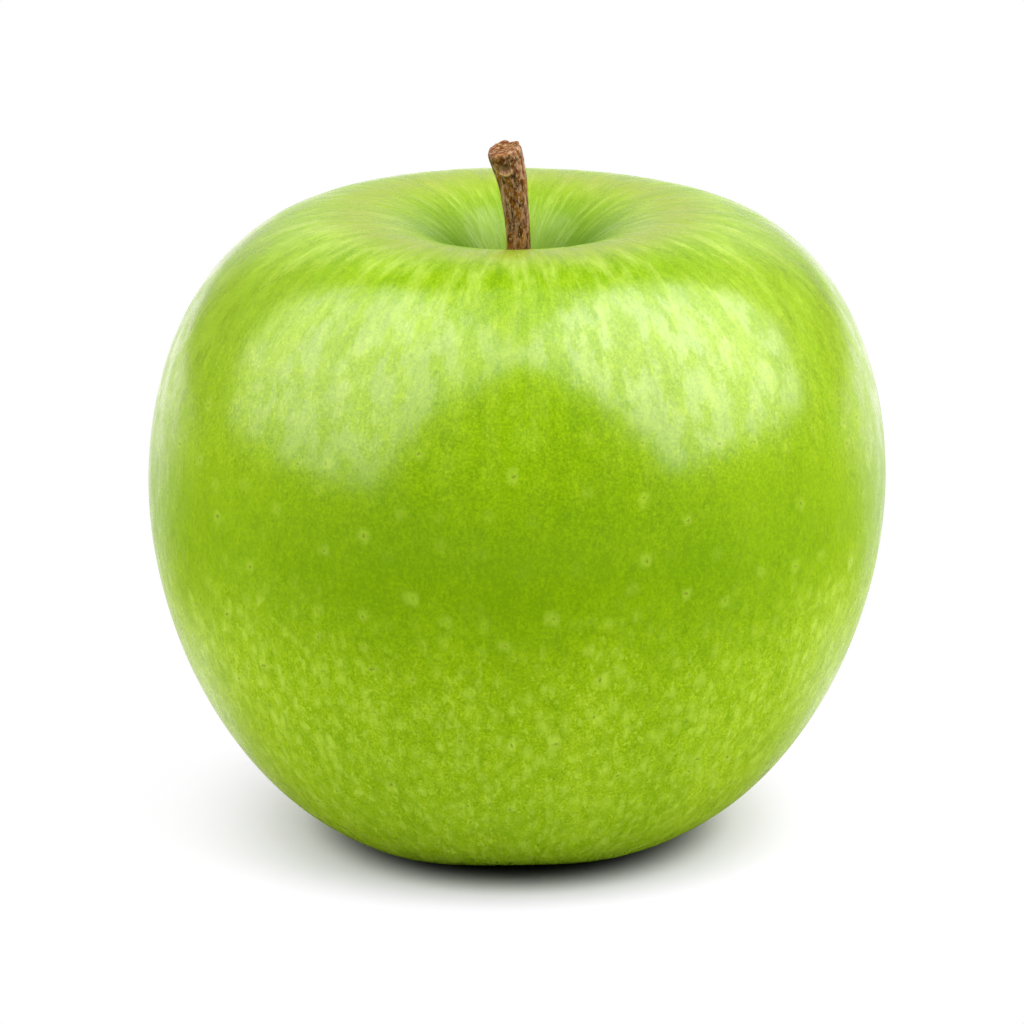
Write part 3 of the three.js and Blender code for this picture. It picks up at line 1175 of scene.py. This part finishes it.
# The contact shadow, partly cast by the lamps and partly painted on the floor, a little narrower than
# deep: radii of its dark core, its edge and its end.
SHADOW_SQUEEZE = (1.1, 1, 1)
SHADOW_CORE = 16.3 * MM
SHADOW_EDGE = 26.3 * MM
SHADOW_END = 45 * MM

WHITE = (1, 1, 1)


def aim(thing, target):
    """Turns a lamp or a camera to look at a place."""
    thing.rotation_euler = (target - thing.location).to_track_quat("-Z", "Y").to_euler()


def on_sphere(azimuth, elevation, distance):
    """A place in front for azimuth 0 and to the right for azimuth 90, in degrees."""
    turn = math.radians(azimuth)
    rise = math.radians(elevation)
    return distance * Vector((
        math.sin(turn) * math.cos(rise),
        -math.cos(turn) * math.cos(rise),
        math.sin(rise),
    ))


def soft_box(name, place, target, width, height, radiance, spread):
    """A rectangular lamp that shows in reflections but not to the camera.

    A spread below 180 degrees dims its light to the sides.
    """
    lamp = bpy.data.lights.new(name, "AREA")
    lamp.shape = "RECTANGLE"
    lamp.size = width
    lamp.size_y = height
    lamp.energy = radiance * width * height * math.pi
    lamp.spread = math.radians(spread)
    box = bpy.data.objects.new(name, lamp)
    bpy.context.scene.collection.objects.link(box)
    box.location = place
    aim(box, target)
    box.visible_camera = False


def floor_material():
    """Matt paper with a shadow painted under the apple, over the lamps' own shadow, that fades into a
    white glow farther out.

    In the skin's gloss the paper is dim and greenish, and the glow shows beside and behind the apple.
    """
    material, net = new_material("studio_floor")
    coordinates = net.node("ShaderNodeTexCoord", output="Object")
    distance = net.vector("LENGTH", coordinates)
    _, back, _ = net.split(coordinates)
    seen = net.node("ShaderNodeLightPath", output="Is Camera Ray")
    bounced = seen.other("Is Diffuse Ray")
    mirrored = seen.other("Is Glossy Ray")

    under = net.vector("LENGTH", net.vector("MULTIPLY", coordinates, SHADOW_SQUEEZE))
    # Painted shadow: the paper darkens under the apple, deeper than the lamps' own shadow.
    dark = net.step(under, SHADOW_CORE, SHADOW_EDGE, 0.08, 0.9)
    painted_shade = dark + net.step(under, SHADOW_EDGE, SHADOW_END, 0.0, 0.1)
    paper = net.blend(bounced, (0.85, 0.85, 0.85), (0.72, 0.72, 0.68))
    paper = net.blend(mirrored, paper, (0.2, 0.2, 0.03))
    paper = net.blend(seen, paper, net.scaled((0.98, 0.92, 1.08), painted_shade))
    matt = net.node("ShaderNodeBsdfDiffuse", values={"Color": paper})
    # The glow is dimmed under the apple by the same painted shadow.
    strength = painted_shade * (1 + 0.15 * mirrored)
    glow = net.node("ShaderNodeEmission", values={"Color": WHITE, "Strength": strength})

    beside = net.step(distance, 100 * MM, 50 * MM) * net.step(back, -12 * MM, 30 * MM)
    behind = net.step(back / distance, 0.35, 0.85)
    fade = net.step(distance, 16 * MM, 50 * MM) * seen + net.math("MAXIMUM", behind, beside) * mirrored
    finish_material(net, net.node("ShaderNodeMixShader", values={0: fade, 1: matt, 2: glow}))
    return material


def make_floor():
    """A round floor, far wider than the camera's view."""
    mesh = bpy.data.meshes.new("studio_floor")
    shape = bmesh.new()
    bmesh.ops.create_circle(shape, cap_ends=True, segments=96, radius=6.0)
    shape.to_mesh(mesh)
    shape.free()
    mesh.materials.append(floor_material())
    floor = bpy.data.objects.new("studio_floor", mesh)
    bpy.context.scene.collection.objects.link(floor)


def make_world():
    """White to the camera; to everything else, bright behind the apple and dim in front of it."""
    world = bpy.data.worlds.new("studio_air")
    world.use_nodes = True
    world.node_tree.nodes.clear()
    bpy.context.scene.world = world
    net = Net(world.node_tree)
    side, back, up = net.split(net.node("ShaderNodeTexCoord", output="Generated"))
    straight_back = back / net.vector("LENGTH", net.joined(side, back, 0.0))
    level = 0.03 + 0.53 * net.step(straight_back, 0.82, 0.98) * net.step(up, 0.75, 0.35)
    seen = net.node("ShaderNodeLightPath", output="Is Camera Ray")
    strength = seen + (1 - seen) * level
    air = net.node("ShaderNodeBackground", values={"Color": WHITE, "Strength": strength})
    net.node("ShaderNodeOutputWorld", values={"Surface": air})


def make_camera(studio):
    """A camera in front of the apple, raised by the studio's elevation."""
    data = bpy.data.cameras.new("studio_camera")
    data.sensor_width = SENSOR_WIDTH
    data.lens = SENSOR_WIDTH * PIXELS_PER_MM * studio.camera_distance / MM / IMAGE_WIDTH
    data.clip_start = 0.05
    data.clip_end = 30
    camera = bpy.data.objects.new("studio_camera", data)
    bpy.context.scene.collection.objects.link(camera)
    elevation = math.degrees(studio.camera_elevation)
    camera.location = CAMERA_TARGET + on_sphere(0, elevation, studio.camera_distance)
    aim(camera, CAMERA_TARGET)
    bpy.context.scene.camera = camera


class APPLE_OT_make_studio(bpy.types.Operator):
    """Makes the floor, the lamps, the air round them and the camera"""

    bl_idname = "apple.make_studio"
    bl_label = "Make Studio"

    def execute(self, context):
        studio = context.scene.apple_studio
        middle = Vector((0, 0, (FRUIT_LOW.z + FRUIT_HIGH.z) / 2))
        below = middle - Vector((0, 0, AIM_DROP))
        left = middle + on_sphere(-74, 42, 0.8)
        right = middle + on_sphere(77, 45, 0.8)
        top = middle + on_sphere(0, 88, 0.9)
        make_floor()
        make_world()
        soft_box("left_box", left, below, 1.15, 1.2, studio.left_glow, spread=120)
        soft_box("right_box", right, below, 1.08, 1.18, studio.right_glow, spread=120)
        soft_box("overhead_panel", top, middle, 0.9, 0.84, studio.top_glow, spread=180)
        make_camera(studio)
        context.scene.view_settings.view_transform = "Standard"
        return {"FINISHED"}


# ---------------------------------------------------------------------------------------------
# Add-on


class APPLE_PT_panel(bpy.types.Panel):
    """Lists the apple's pieces and settings"""

    bl_label = "Green Apple"
    bl_idname = "APPLE_PT_panel"
    bl_space_type = "VIEW_3D"
    bl_region_type = "UI"
    bl_category = "Apple"

    def draw(self, context):
        for group in GROUPS.values():
            settings = getattr(context.scene, group)
            box = self.layout.box()
            for name in settings.__annotations__:
                box.prop(settings, name)
        for operator in OPERATORS:
            self.layout.operator(operator.bl_idname)


GROUPS = {
    FruitSettings: "apple_fruit",
    StemSettings: "apple_stem",
    CalyxSettings: "apple_calyx",
    StudioSettings: "apple_studio",
}
OPERATORS = (
    APPLE_OT_make_studio,
    APPLE_OT_make_fruit,
    APPLE_OT_make_stem,
    APPLE_OT_make_sepals,
    APPLE_OT_make_tuft,
)


def register():
    for group, name in GROUPS.items():
        bpy.utils.register_class(group)
        setattr(bpy.types.Scene, name, bpy.props.PointerProperty(type=group))
    for shown in (*OPERATORS, APPLE_PT_panel):
        bpy.utils.register_class(shown)


def unregister():
    for shown in (APPLE_PT_panel, *reversed(OPERATORS)):
        bpy.utils.unregister_class(shown)
    for group, name in reversed(GROUPS.items()):
        delattr(bpy.types.Scene, name)
        bpy.utils.unregister_class(group)


def main():
    register()
    bpy.ops.apple.make_studio()
    bpy.ops.apple.make_fruit()
    bpy.ops.apple.make_stem()
    bpy.ops.apple.make_sepals()
    bpy.ops.apple.make_tuft()


if __name__ == "__main__":
    main()
